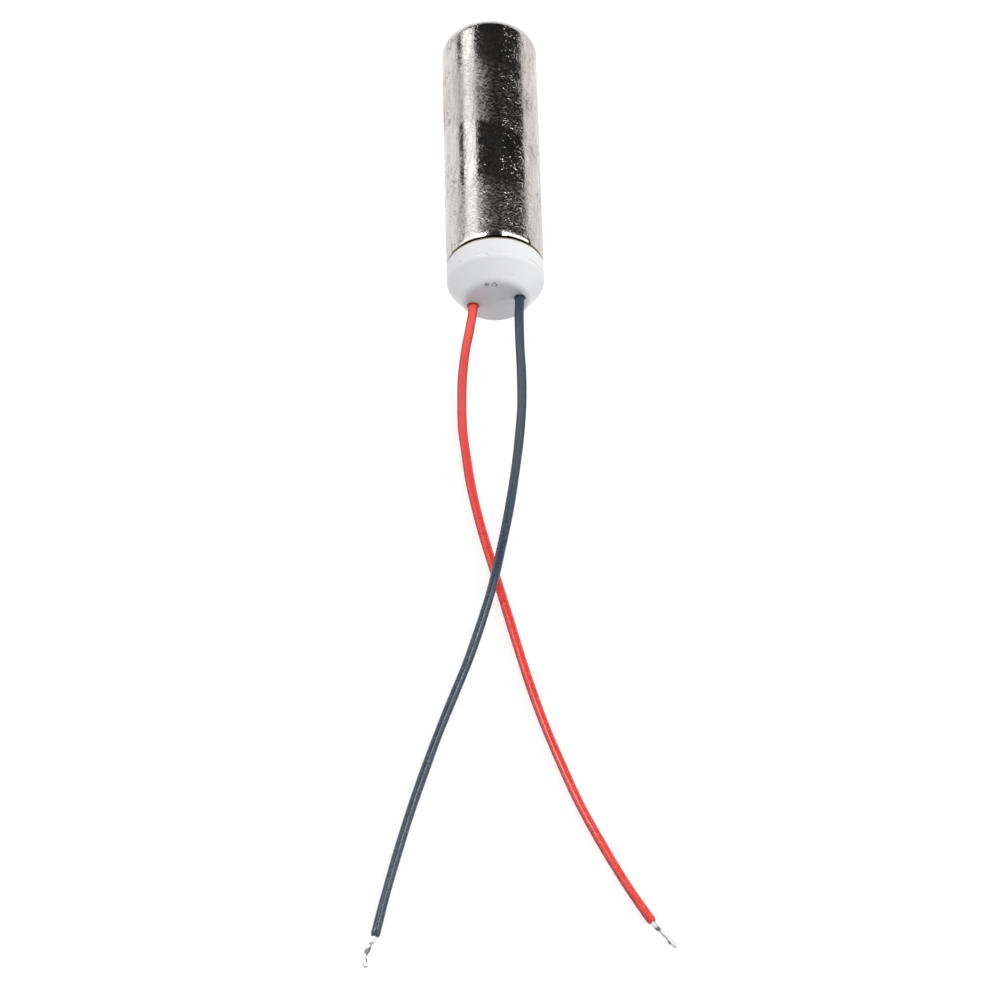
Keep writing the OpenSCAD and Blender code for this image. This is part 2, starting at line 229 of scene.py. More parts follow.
class Graph:
    """One material, made of nodes. Its coordinates are the object's own, in millimetres."""

    def __init__(self, name, **shader_values):
        self.material = bpy.data.materials.new(name)
        self.material.use_nodes = True
        self.tree = self.material.node_tree
        self.tree.nodes.clear()
        self.shader = self.node("ShaderNodeBsdfPrincipled", **shader_values)
        output = self.node("ShaderNodeOutputMaterial")
        self.tree.links.new(self.shader.outputs[0], output.inputs["Surface"])
        coordinates = self.node("ShaderNodeTexCoord")
        self.mm = self.node("ShaderNodeVectorMath", {"operation": "SCALE"},
                            Vector=coordinates.outputs["Object"], Scale=1 / MM).outputs[0]

    def node(self, kind, settings=None, **inputs):
        """Adds a node. A keyword is its input's name, with _ for a space, or _ and its number."""
        made = self.tree.nodes.new(kind)
        for key, value in (settings or {}).items():
            setattr(made, key, value)
        for key, value in inputs.items():
            socket = int(key[1:]) if key[1:].isdigit() else key.replace("_", " ")
            self.put(made.inputs[socket], value)
        return made

    def put(self, socket, value):
        """Sets a socket to a number or colour, or links it to another node's output."""
        if isinstance(value, bpy.types.NodeSocket):
            self.tree.links.new(value, socket)
        elif socket.type == "RGBA" and len(value) == 3:
            socket.default_value = (*value, 1)
        else:
            socket.default_value = value

    def math(self, operation, a, b=0.0):
        return self.node("ShaderNodeMath", {"operation": operation}, _0=a, _1=b).outputs[0]

    def noise(self, scale, detail, vector=None, rough=0.5):
        """Soft blots, about 1 / scale millimetres across, with finer ones for more detail."""
        return self.node("ShaderNodeTexNoise", Vector=vector or self.mm, Scale=scale,
                         Detail=detail, Roughness=rough).outputs["Fac"]

    def cells(self, scale, vector=None):
        """The distance from the nearest of many scattered points, and that point's own colour."""
        made = self.node("ShaderNodeTexVoronoi", Vector=vector or self.mm, Scale=scale)
        return made.outputs["Distance"], made.outputs["Color"]

    def between(self, value, low, high, to_low=0.0, to_high=1.0):
        """Carries a value from one range to another, held at both ends."""
        return self.node("ShaderNodeMapRange", {"interpolation_type": "SMOOTHSTEP"}, Value=value,
                         From_Min=low, From_Max=high, To_Min=to_low, To_Max=to_high).outputs[0]

    def blend(self, share, a, b):
        """Mixes two colours: a Mix node's inputs 6 and 7 and its output 2."""
        return self.node("ShaderNodeMix", {"data_type": "RGBA"}, _0=share, _6=a, _7=b).outputs[2]

    def turned(self, vector, scale, degrees=0.0):
        """A vector turned about Z and then stretched by scale."""
        turn = self.node("ShaderNodeMapping", {"vector_type": "TEXTURE"}, Vector=vector,
                         Rotation=(0, 0, math.radians(degrees)))
        return self.node("ShaderNodeVectorMath", {"operation": "MULTIPLY"}, _0=turn.outputs[0],
                         _1=scale).outputs[0]

    def warped(self, amount, scale=3.0):
        """The object's coordinates, shifted a little by noise, so that cells aren't round."""
        shift = self.node("ShaderNodeTexNoise", Vector=self.mm, Scale=scale).outputs["Color"]
        return self.node("ShaderNodeVectorMath", {"operation": "MULTIPLY_ADD"}, _0=shift,
                         _1=(amount, amount, amount), _2=self.mm).outputs[0]

    def xyz(self):
        """The coordinates across, along and up from the motor's axis."""
        x, y, z = self.node("ShaderNodeSeparateXYZ", Vector=self.mm).outputs
        return x, y, self.math("SUBTRACT", z, AXIS_Z / MM)

    def off_axis(self, x, z):
        """The distance from the motor's axis."""
        return self.math("SQRT", self.add(self.times(x, x), self.times(z, z)))

    def distance(self, point):
        """The distance from a point, in millimetres."""
        return self.node("ShaderNodeVectorMath", {"operation": "DISTANCE"}, _0=self.mm,
                         _1=point).outputs["Value"]

    def unrolled(self, radius_mm=CAN_R / MM, end_radius_mm=0.0):
        """A wall laid flat: X round it and Y along it. Inside end_radius_mm it is an end face."""
        x, y, z = self.xyz()
        round_it = self.times(self.math("ARCTAN2", x, z), radius_mm)
        wall = self.node("ShaderNodeCombineXYZ", X=round_it, Y=y).outputs[0]
        end = self.node("ShaderNodeCombineXYZ", X=x, Y=z).outputs[0]
        on_end = self.math("LESS_THAN", self.off_axis(x, z), end_radius_mm)
        return self.node("ShaderNodeMix", {"data_type": "VECTOR"}, _0=on_end, _4=wall,
                         _5=end).outputs[1]

    def line(self, value, at, width):
        """1 where a value passes a level, falling to 0 within width."""
        away = self.math("ABSOLUTE", self.math("SUBTRACT", value, at))
        return self.between(away, 0, width, 1, 0)

    def fold(self, operation, values):
        """Takes several values together, two at a time."""
        total = values[0]
        for value in values[1:]:
            total = self.math(operation, total, value)
        return total

    def add(self, *values):
        return self.fold("ADD", values)

    def times(self, *values):
        return self.fold("MULTIPLY", values)

    def most(self, *values):
        return self.fold("MAXIMUM", values)

    def strokes(self, vector, degrees, length, width, detail):
        """A fur of short strokes in one direction, about length by width millimetres each."""
        return self.noise(1.0, detail, self.turned(vector, (1 / length, 1 / width, 1), degrees))

    def finish(self, colour, rough, height, depth_mm=1.0):
        """Links the patterns to the shader. A height of 1 is depth_mm above a height of 0."""
        self.put(self.shader.inputs["Base Color"], colour)
        self.put(self.shader.inputs["Roughness"], rough)
        bump = self.node("ShaderNodeBump", Height=height, Distance=depth_mm * MM)
        self.put(self.shader.inputs["Normal"], bump.outputs[0])
        return self.material


# ---- Materials ----

def nickel_plate(name):
    """Bright nickel over drawn steel, hazed towards both ends by a fur of short scratches."""
    g = Graph(name, Metallic=1.0)
    x, y, z = g.xyz()
    flat = g.unrolled(end_radius_mm=2.6)
    seam = SEAM_Y / MM

    # Zones: dull towards the closed end and near the seam, with a bright rolled rim, and patches.
    wander = g.noise(0.8, 2.0)
    far = g.between(g.add(y, g.times(x, 0.4), g.times(wander, 0.8)), 1.8, 2.3)
    far = g.times(far, g.between(y, 6.5, 9.5, 1, 0.1))
    near = g.between(g.add(y, g.times(wander, 1.6)), -3.8, -1.5, 1, 0)
    beyond_rim = g.between(g.add(y, g.times(wander, -0.4)), seam + 0.1, seam + 0.3)
    patch = g.between(g.noise(0.5, 3.0), 0.42, 0.58)
    worn = g.most(far, near, g.times(patch, 0.6))

    # A fur of short scratches in four directions, deeper where the plate is worn.
    cuts = [g.between(g.strokes(flat, degrees, length, 0.11, 0.0), 0.5, 0.68)
            for degrees, length in ((-36, 0.4), (34, 0.3), (-50, 0.24), (75, 0.28))]
    fur = g.add(cuts[0], g.times(cuts[1], 0.5), g.times(cuts[2], 0.8), g.times(cuts[3], 0.3))
    fur = g.times(fur, g.add(0.0028, g.times(worn, 0.0016)),
                  g.between(g.noise(0.9, 2.0), 0.4, 0.6, 0.3, 1.1),
                  g.between(x, -2.35, -1.95, 0.35, 1), g.between(x, -0.5, 0.2, 1.15, 0.7))

    # Pits and curled scuffs, mostly on the upper right, and long hairlines on both flanks.
    top = g.between(z, 0.6, 2.0, 0.3, 1)
    distance, shade = g.cells(5.2, g.warped(0.3))
    pits = g.times(g.between(distance, 0.1, 0.4, 1, 0), g.between(shade, 0.4, 0.5), patch, top,
                   g.between(x, 0.3, 1.0, 0.3, 1))
    curls = g.times(g.line(g.noise(1.9, 1.0, g.warped(0.5, 1.0)), 0.5, 0.05),
                    g.between(g.noise(1.6, 1.0), 0.5, 0.6), top, g.between(x, 0.2, 1.0, 0.2, 1))
    ways = ((0.3, 1.9, 1), 47), ((0.35, 2.4, 1), -52), ((0.1, 0.9, 1), 80)
    hairlines = g.most(*(g.line(g.noise(1.0, 1.0, g.turned(flat, stretch, degrees), 0.4), 0.5,
                                0.022) for stretch, degrees in ways))
    hairlines = g.times(hairlines, g.between(g.noise(0.5, 2.0), 0.5, 0.6),
                        g.between(g.math("ABSOLUTE", x), 2.2, 2.7, 0.1, 1))

    marks = g.add(fur, g.times(pits, -0.014), g.times(curls, -0.010), g.times(hairlines, -0.01))
    height = g.add(g.times(marks, beyond_rim), g.times(g.noise(0.3, 1.0), 0.08))
    haze = g.times(g.add(far, g.times(near, 0.5)), g.between(x, -0.6, 0.5, 0.17, 0.015))
    rough = g.add(0.07, g.times(beyond_rim, 0.02), haze, g.times(near, beyond_rim, 0.05),
                  g.times(hairlines, 0.15), g.times(g.noise(9.0, 1.0), 0.03),
                  g.times(g.most(cuts[0], cuts[1]), beyond_rim, g.add(0.045, g.times(worn, 0.125))))

    # Stained in long streaks and along the scratches, and darker to the right; painted shade low on
    # both flanks; a painted shadow under the rim.
    stains_and_flank_shade = g.add(g.times(g.between(g.strokes(flat, 84, 2.2, 0.3, 3.0), 0.42, 0.62), 0.7),
                   g.times(g.most(cuts[0], cuts[2]), 0.3), g.between(z, 0.9, 0.0, 0, 0.9),
                   g.between(x, 2.3, 2.6, 0, 0.3))
    colour = g.blend(stains_and_flank_shade, (0.69, 0.67, 0.65), (0.53, 0.50, 0.48))
    colour = g.blend(g.times(hairlines, 0.6), colour, (0.20, 0.18, 0.17))
    # Painted shadow: the metal next to the seam turns near black, standing in for the gap's shade.
    rim_gap_shadow = g.between(y, seam + 0.16, seam + 0.22, 1, 0)
    colour = g.blend(rim_gap_shadow, colour, (0.12, 0.10, 0.06))
    return g.finish(colour, rough, height)


def white_plastic(name):
    """Moulded cap: satin, with bits of a parting line, faint scuffs and the gate's mark; painted
    shade darkens its face, its lead holes and the seam's groove.
    """
    g = Graph(name, Subsurface_Weight=0.1, Subsurface_Scale=0.35 * MM)
    x, y, _ = g.xyz()
    flat = g.unrolled(end_radius_mm=FACE_R / MM)
    face, seam, line_y = FACE_Y / MM, SEAM_Y / MM, (SEAM_Y - BAND_LEN) / MM

    # Marks along the parting line, where the band meets the cone, and scuffs and a scratch.
    parting = g.times(g.line(y, line_y, 0.03), g.add(
        g.times(g.between(x, 2.2, 2.8), g.between(g.noise(0.9, 3.0), 0.4, 0.55)),
        g.line(x, -2.5, 0.2), g.times(g.between(g.noise(1.3, 3.0), 0.55, 0.65), 0.4)))
    scuffs = g.times(g.line(g.noise(1.0, 1.0, g.turned(flat, (0.35, 1.8, 1), -40)), 0.5, 0.006),
                     g.between(g.noise(0.8, 2.0), 0.57, 0.64))
    scratch = g.times(g.line(g.add(y, g.times(x, 0.85)), line_y - 0.655, 0.05),
                      g.line(x, -0.585, 0.25))

    # The gate's two rough spots near the top of the face.
    gate = 0.0
    for across, half_width in ((-0.65, 0.24), (-0.09, 0.32)):
        away = g.distance((across, face, AXIS_Z / MM + 2.02))
        gate = g.most(gate, g.between(away, half_width * 0.5, half_width, 1, 0))
    gate = g.times(gate, g.between(g.noise(10.0, 1.0), 0.47, 0.57))

    # Dirt in specks, and painted shade inside the lead holes and in the seam's groove under the
    # can's rim.
    specks = g.between(g.noise(7.0, 1.0), 0.72, 0.78)
    inside = 0.0
    # Painted shade inside each lead hole.
    for hole in (RED_HOLE, BLUE_HOLE):
        axis = g.node("ShaderNodeCombineXYZ", X=hole.x / MM, Y=y, Z=hole.z / MM).outputs[0]
        inside = g.most(inside, g.between(g.distance(axis), HOLE_R / MM + 0.01, HOLE_R / MM + 0.05,
                                          1, 0))
    # Painted shade in the seam's groove, tinted brown.
    seam_groove_shade = g.times(g.between(y, seam - 0.23, seam - 0.16),
                    g.between(g.noise(1.5, 3.0), 0.3, 0.6, 0.6, 1.0))
    dirt_and_hole_shade = g.most(parting, g.times(gate, 0.95), g.times(scuffs, 0.3), g.times(scratch, 0.6),
                  g.times(specks, 0.25), g.times(inside, 0.95))

    tone_and_face_shade = g.blend(g.noise(0.5, 3.0), (0.82, 0.825, 0.84), (0.79, 0.795, 0.81))
    # Painted shade: the colour darkens towards the face, within 0.35 mm of it.
    tone_and_face_shade = g.blend(g.between(y, face + 0.35, face), tone_and_face_shade, (0.70, 0.71, 0.735))
    colour = g.blend(seam_groove_shade, g.blend(dirt_and_hole_shade, tone_and_face_shade, (0.14, 0.12, 0.12)), (0.30, 0.26, 0.18))
    height = g.add(g.times(g.noise(14.0, 2.0), 0.0015), g.times(parting, 0.004),
                   g.times(scuffs, -0.003), g.times(scratch, -0.006), g.times(gate, -0.006),
                   g.times(g.noise(1.2, 1.0), 0.009))
    rough = g.between(g.noise(2.0, 3.0), 0.3, 0.7, 0.38, 0.52)
    return g.finish(colour, rough, height)


def insulation(name, fresh, handled, glint_speck_colour):
    """Extruded lead insulation: fresh and dull near the cap, handled and glossier further on, with
    painted shade at the hole and on the flanks, and dust specks that are partly painted glints.
    """
    g = Graph(name, Subsurface_Weight=0.05, Subsurface_Scale=0.2 * MM)
    _, y, _ = g.xyz()
    base = g.blend(g.between(g.add(y, g.times(g.noise(0.3, 2.0), 4.0)), -17.0, -11.0, 1, 0),
                   fresh, handled)

    # Painted shade at the cap's hole and along both flanks, which face away from above, and darker
    # in faint blots.
    darker = g.node("ShaderNodeVectorMath", {"operation": "SCALE"}, Vector=base,
                    Scale=0.35).outputs[0]
    painted_root_shade = g.between(y, FACE_Y / MM - 0.16, FACE_Y / MM - 0.03)
    normal = g.node("ShaderNodeNewGeometry").outputs["Normal"]
    facing_up = g.node("ShaderNodeSeparateXYZ", Vector=normal).outputs["Z"]
    painted_flank_shade = g.between(facing_up, 0.35, 0.85, 0.9, 0)
    blots = g.between(g.noise(0.9, 3.0), 0.4, 0.7, 0, 0.12)
    shade = g.blend(g.most(painted_root_shade, painted_flank_shade, blots), base, darker)

    # Dust specks in the colour of the highlights, so partly painted glints, more of them far from
    # the cap; they also raise small bumps.
    dust_and_glints = g.times(g.between(g.noise(8.0, 2.0), 0.58, 0.70), g.between(y, -40.0, -28.0, 1, 0.1))
    height = g.add(g.times(g.noise(6.0, 3.0), g.between(y, -34.0, -22.0, 0.005, 0.004)),
                   g.times(dust_and_glints, 0.003), g.times(g.noise(1.3, 1.0), 0.01))
    rough = g.add(g.between(g.noise(3.0, 2.0), 0.3, 0.7, 0.19, 0.29),
                  g.between(y, -34.0, -22.0, 0, 0.2))
    return g.finish(g.blend(g.times(dust_and_glints, 0.3), shade, glint_speck_colour), rough, height)


def tinned_copper(name):
    """Strands flooded with solder: bright and slightly wavy, with a few dark grey bits."""
    g = Graph(name, Metallic=0.85)
    dark_bits = g.between(g.noise(1.4, 1.0), 0.54, 0.6)
    colour = g.blend(dark_bits, (0.97, 0.97, 0.965), (0.3, 0.3, 0.31))
    height = g.add(g.times(g.noise(4.0, 2.0), 0.01), g.times(g.noise(16.0, 2.0), 0.0015))
    return g.finish(colour, g.between(g.noise(5.0, 2.0), 0.3, 0.7, 0.32, 0.5), height)


def drawn_metal(name, light, dark, rough, streak_mm=0.06):
    """Sheet metal drawn or rolled along the axis: long faint streaks and small blotches."""
    g = Graph(name, Metallic=1.0)
    streaks = g.strokes(g.unrolled(3.0), 90, 3.0, streak_mm, 2.0)
    blotch = g.between(g.noise(0.9, 3.0), 0.4, 0.65)
    colour = g.blend(g.times(blotch, 0.8), light, dark)
    height = g.add(g.times(streaks, 0.006), g.times(g.noise(6.0, 2.0), 0.002))
    rough = g.add(rough, g.times(blotch, 0.08), g.times(streaks, 0.06))
    return g.finish(colour, rough, height)


def turned_metal(name, light, dark, rough, rings_mm=0.03):
    """Metal cut on a lathe: fine rings about the motor's axis, a little tarnished."""
    g = Graph(name, Metallic=1.0)
    x, y, z = g.xyz()
    section = g.node("ShaderNodeCombineXYZ", X=g.off_axis(x, z), Y=y).outputs[0]
    rings = g.noise(1 / rings_mm, 1.0, section)
    tarnish = g.between(g.noise(1.5, 3.0), 0.45, 0.7)
    height = g.add(g.times(rings, 0.0015), g.times(g.noise(5.0, 2.0), 0.002))
    return g.finish(g.blend(tarnish, light, dark), g.add(rough, g.times(tarnish, 0.1)), height)


def sintered(name, light, dark, rough, grain_mm=0.09):
    """Pressed powder: packed grains with dark pores between them."""
    g = Graph(name, Metallic=1.0)
    grains, _ = g.cells(1 / grain_mm, g.warped(0.05, 12.0))
    pores = g.between(g.noise(1 / grain_mm, 2.0), 0.58, 0.68)
    colour = g.blend(g.most(pores, g.times(g.noise(1.2, 2.0), 0.5)), light, dark)
    height = g.add(g.times(grains, -0.008), g.times(pores, -0.012))
    return g.finish(colour, g.add(rough, g.times(pores, 0.3)), height)


def moulded(name, light, dark, rough, grain=10.0, translucent=0.0):
    """Moulded plastic or resin: fine grain, faint flow lines and small variations of shade."""
    g = Graph(name, Subsurface_Weight=translucent, Subsurface_Scale=0.2 * MM)
    flow = g.noise(1.0, 3.0, g.turned(g.mm, (0.4, 2.2, 0.8), 25))
    colour = g.blend(g.between(flow, 0.35, 0.7), light, dark)
    height = g.add(g.times(g.noise(grain, 2.0), 0.003), g.times(flow, 0.01))
    return g.finish(colour, g.add(rough, g.times(g.noise(3.0, 2.0), 0.14)), height)


def cured(name, light, dark, rough, fewest=0.7):
    """A cured compound: soft ripples and tiny bubbles, which are fewer when fewest nears 1."""
    g = Graph(name, Subsurface_Weight=0.2, Subsurface_Scale=0.3 * MM)
    distance, shade = g.cells(3.0)
    bubble = g.times(g.between(distance, 0.1, 0.2, 1, 0), g.between(shade, fewest, fewest + 0.05))
    colour = g.blend(g.between(g.noise(1.4, 3.0), 0.35, 0.7), light, dark)
    height = g.add(g.times(g.noise(1.1, 2.0), 0.04), g.times(bubble, -0.02))
    return g.finish(colour, g.add(rough, g.times(g.noise(4.0, 2.0), 0.12)), height)


def enamelled_copper(name):
    """Fine enamelled wire wound at a slant, glossy, with painted shade between the turns."""
    g = Graph(name, Metallic=0.85, Coat_Weight=0.6, Coat_Roughness=0.12)
    turned = g.turned(g.unrolled(2.6), (1.0, 1.0, 1.0), 70)
    wires = g.node("ShaderNodeTexWave", {"bands_direction": "Y"}, Vector=turned, Scale=5.0,
                   Distortion=0.3).outputs["Fac"]
    gaps_and_shade = g.between(wires, 0.0, 0.3, 1, 0)
    colour = g.blend(g.noise(0.8, 2.0), (0.72, 0.30, 0.12), (0.58, 0.21, 0.08))
    colour = g.blend(g.times(gaps_and_shade, 0.8), colour, (0.16, 0.05, 0.02))
    return g.finish(colour, g.add(0.22, g.times(gaps_and_shade, 0.25)), g.times(wires, 0.012))


# Each material's name and maker, and what the maker takes: mostly two colours and a roughness.
MATERIALS = {name: make(name, *looks) for name, make, *looks in (
    ("nickel_plate", nickel_plate),
    ("white_plastic", white_plastic),
    ("red_insulation", insulation, (0.86, 0.056, 0.036), (0.82, 0.046, 0.036), (1.0, 0.45, 0.4)),
    ("blue_insulation", insulation, (0.016, 0.042, 0.086), (0.032, 0.050, 0.084),
     (0.30, 0.35, 0.42)),
    ("tinned_copper", tinned_copper),
    ("motor_steel", drawn_metal, (0.60, 0.60, 0.59), (0.48, 0.47, 0.45), 0.28),
    ("tinned_brass", drawn_metal, (0.78, 0.75, 0.66), (0.66, 0.60, 0.46), 0.3, 0.03),
    ("brush_alloy", drawn_metal, (0.84, 0.72, 0.46), (0.70, 0.56, 0.30), 0.22, 0.02),
    ("brass", turned_metal, (0.80, 0.63, 0.33), (0.60, 0.44, 0.20), 0.24),
    ("shaft_steel", turned_metal, (0.68, 0.68, 0.68), (0.56, 0.56, 0.57), 0.14, 0.015),
    ("commutator_copper", turned_metal, (0.86, 0.50, 0.32), (0.48, 0.25, 0.15), 0.26, 0.02),
    ("sintered_bronze", sintered, (0.62, 0.40, 0.22), (0.22, 0.13, 0.07), 0.42),
    ("magnet_alloy", sintered, (0.36, 0.36, 0.37), (0.18, 0.18, 0.19), 0.34, 0.05),
    ("tungsten_alloy", sintered, (0.44, 0.44, 0.45), (0.22, 0.22, 0.22), 0.32, 0.12),
    ("solder", sintered, (0.78, 0.79, 0.80), (0.60, 0.60, 0.61), 0.2, 0.25),
    ("dark_plastic", moulded, (0.045, 0.045, 0.05), (0.03, 0.03, 0.033), 0.38),
    ("hub_resin", moulded, (0.24, 0.11, 0.05), (0.15, 0.06, 0.03), 0.3),
    ("washer_nylon", moulded, (0.80, 0.74, 0.60), (0.72, 0.64, 0.48), 0.4, 14.0, 0.2),
    ("insulating_film", moulded, (0.84, 0.76, 0.52), (0.74, 0.62, 0.36), 0.3, 5.0),
    ("sealant", cured, (0.80, 0.80, 0.78), (0.72, 0.71, 0.68), 0.34),
    ("potting", cured, (0.86, 0.85, 0.82), (0.78, 0.75, 0.68), 0.36, 0.5),
    ("enamelled_copper", enamelled_copper))}
SLOTS = {part["node"]: part["material_slot"] for part in frame["record"]["subparts"]}


def stand_for(name, node, body, mesh_data, smooth_deg=35):
    """Makes a mesh the piece that stands for a CAD node, in the node's own material."""
    slot = SLOTS[node]
    piece = new_object(name, mesh_data, MATERIALS[slot], smooth_deg)
    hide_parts(node)
    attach(piece, body)
    return piece


# ---- Camera ----

CAMERA_AZIMUTH = math.radians(-0.3)
CAMERA_ELEVATION = math.radians(55.06)
CAMERA_ROLL = math.radians(-1.28)
CAMERA_DISTANCE = 321.9 * MM
CAMERA_TARGET = Vector((-0.09, -26.975, 0)) * MM
CAMERA_LENS_MM = 164.4
CAMERA_SENSOR_MM = 36


def make_camera():
    """Looks down at the motor from the leads' end, with a long lens."""
    back = Vector((math.sin(CAMERA_AZIMUTH) * math.cos(CAMERA_ELEVATION),
                   -math.cos(CAMERA_AZIMUTH) * math.cos(CAMERA_ELEVATION),
                   math.sin(CAMERA_ELEVATION)))
    data = bpy.data.cameras.new("camera")
    data.lens = CAMERA_LENS_MM
    data.sensor_width = CAMERA_SENSOR_MM
    data.clip_start = 0.01
    data.clip_end = 100
    camera = bpy.data.objects.new("camera", data)
    bpy.context.scene.collection.objects.link(camera)
    turn = (-back).to_track_quat("-Z", "Y").to_matrix().to_4x4()
    roll = Matrix.Rotation(CAMERA_ROLL, 4, "Z")
    camera.matrix_world = Matrix.Translation(CAMERA_TARGET + back * CAMERA_DISTANCE) @ turn @ roll
    bpy.context.scene.camera = camera


# ---- Leads ----

# Each route repeats its CAD tube's, in millimetres: straight out of the cap, down and along.
RED_ROUTE_MM = [
    (-1.9, -13.6, 2.75), (-2.3, -15.4, 2.15), (-2.55, -17.1, 1.45), (-2.65, -18.9, 0.82),
    (-2.65, -20.8, 0.45), (-2.5, -22.6, 0.33), (-2.15, -25.8, 0.33), (-1.6, -29.0, 0.33),
    (-0.85, -32.4, 0.33), (-0.05, -35.8, 0.33), (0.8, -39.5, 0.33), (1.6, -42.8, 0.33),
    (2.5, -46.0, 0.33), (3.55, -49.2, 0.33), (4.7, -52.4, 0.33), (6.1, -55.6, 0.33),
    (7.6, -58.7, 0.33), (9.15, -61.5, 0.33)]
BLUE_ROUTE_MM = [
    (1.6, -13.8, 3.82), (1.6, -16.0, 3.4), (1.65, -18.1, 2.85), (1.6, -20.4, 2.25),
    (1.35, -22.9, 1.72), (0.95, -25.8, 1.36), (0.45, -28.8, 1.12), (-0.15, -31.8, 1.03),
    (-0.8, -34.8, 1.03), (-1.6, -37.6, 0.87), (-2.6, -40.6, 0.55), (-3.6, -43.2, 0.35),
    (-4.7, -46.2, 0.33), (-5.8, -49.5, 0.33), (-6.8, -52.7, 0.33), (-7.7, -55.9, 0.33),
    (-8.5, -59.0, 0.33), (-9.2, -62.0, 0.33)]
RED_BARE_MM = [(9.7, -62.2, 0.26), (10.15, -62.8, 0.22), (10.65, -63.4, 0.2)]
BLUE_BARE_MM = [(-9.55, -62.7, 0.26), (-9.9, -63.5, 0.21), (-9.8, -64.3, 0.2)]
JACKET_START_Y = SEAM_Y - 0.3 * MM
CONDUCTOR_START_Y = SEAM_Y + 2.25 * MM


def make_jacket(name, node, path):
    """A tube of insulation that thins along its way, slightly uneven, with a ragged, open end."""
    mesh_data = bmesh.new()
    sides = 28
    count = len(path)
    bore = CONDUCTOR_R + 0.02 * MM
    trim = 0.05 * MM
    ragged = 0.07 * MM
    taper = 0.035 * MM
    unevenness = 0.006 * MM

    def outside(i, angle):
        if path[i].y > FACE_Y:
            return JACKET_R
        uneven = unevenness * (math.sin(i * 0.43) + 0.6 * math.sin(i * 0.21 + 2 * angle))
        thinner = taper * (0.5 - i / (count - 1))
        return JACKET_R + uneven + thinner - (trim if i == count - 1 else 0)

    outer = sweep(mesh_data, path, outside, sides)
    inner = sweep(mesh_data, path, lambda i, angle: bore, sides)
    join_rings(mesh_data, outer[0], inner[0])
    join_rings(mesh_data, outer[-1], inner[-1])
    ahead = (path[-1] - path[-2]).normalized()
    for ring in (outer[-1], inner[-1]):
        for vertex, turn in zip(ring, round_turns(sides)):
            vertex.co += ahead * ragged * (0.6 * math.sin(turn) + 0.4 * math.sin(3 * turn))
    return stand_for(name, node, "housing", mesh_data)


def make_conductor(name, node, path, bare_from):
    """A rod inside the insulation that becomes a twist of strands, flooded with solder."""
    mesh_data = bmesh.new()
    sides = 56
    count = len(path)
    strands = 7
    turns = 2.6
    twist_r = CONDUCTOR_R - 0.045 * MM
    ridge_height = 0.025 * MM
    lump_height = 0.02 * MM
    least_r = 0.02 * MM
    tip_share = 0.07

    def radius(i, angle):
        if i < bare_from:
            return CONDUCTOR_R
        along = (i - bare_from) / (count - 1 - bare_from)
        ridge = abs(math.cos(strands / 2 * (angle + 2 * math.pi * turns * along)))
        lump = lump_height * math.sin(7 * along + 2 * angle) * math.sin(13 * along + 1)
        swell = 0.02 * MM * (1 - along) + 0.015 * MM * math.sin(17 * along)
        tip = math.sqrt(max(0.0, 1 - max(0.0, (along - 1 + tip_share) / tip_share) ** 2))
        return max(least_r, (twist_r + ridge_height * ridge + lump + swell) * tip)

    rings = sweep(mesh_data, path, radius, sides)
    mesh_data.faces.new(rings[0])
    mesh_data.faces.new(reversed(rings[-1]))
    return stand_for(name, node, "housing", mesh_data, 60)


def make_lead(colour, hole, route_mm, bare_mm):
    """One lead: its insulation and its conductor."""
    steps = 8
    bare_steps = 24
    start = Vector((hole.x, JACKET_START_Y, hole.z))
    route = [start, hole] + [Vector(p) * MM for p in route_mm]
    jacket_path = spline(route, steps)
    bare_route = route[-2:] + [Vector(p) * MM for p in bare_mm]
    bare_path = spline(bare_route, bare_steps)[bare_steps:]
    inner_start = Vector((hole.x, CONDUCTOR_START_Y, hole.z))
    jacket = make_jacket(f"{colour}_insulation", f"{colour}_jacket", jacket_path)
    conductor = make_conductor(f"{colour}_strands", f"{colour}_conductor",
                               [inner_start] + jacket_path[:-1] + bare_path, len(jacket_path))


# ---- Housing ----

def make_outer_can():
    """Drawn can: flat end, rounded corner, straight wall and a round-edged rim, bent inwards."""
    corner = (CAN_R - CORNER_R, CLOSED_Y - CORNER_R)
    edge_r = 0.27 * MM
    reach = CURL_R - edge_r
    turn = math.radians(CURL_TURN)
    curl = (CAN_R - CURL_R, SEAM_Y + FIT_GAP + edge_r + reach * math.sin(turn))
    edge = (curl[0] + reach * math.cos(turn), curl[1] - reach * math.sin(turn))
    outline = ([(0, CLOSED_Y)]
               + arc(corner, CORNER_R, 90, 0, 24)
               + arc(curl, CURL_R, 0, -CURL_TURN, 10)
               + arc(edge, edge_r, -CURL_TURN - 6, -90, 10)
               + arc(curl, CURL_R - CAN_WALL, -CURL_TURN, 0, 6)
               + arc(corner, CORNER_R - CAN_WALL, 0, 90, 12)
               + [(0, CLOSED_Y - CAN_WALL)])
    stand_for("drawn_can", "outer_can", "housing", lathe_mesh(outline, closed=False))


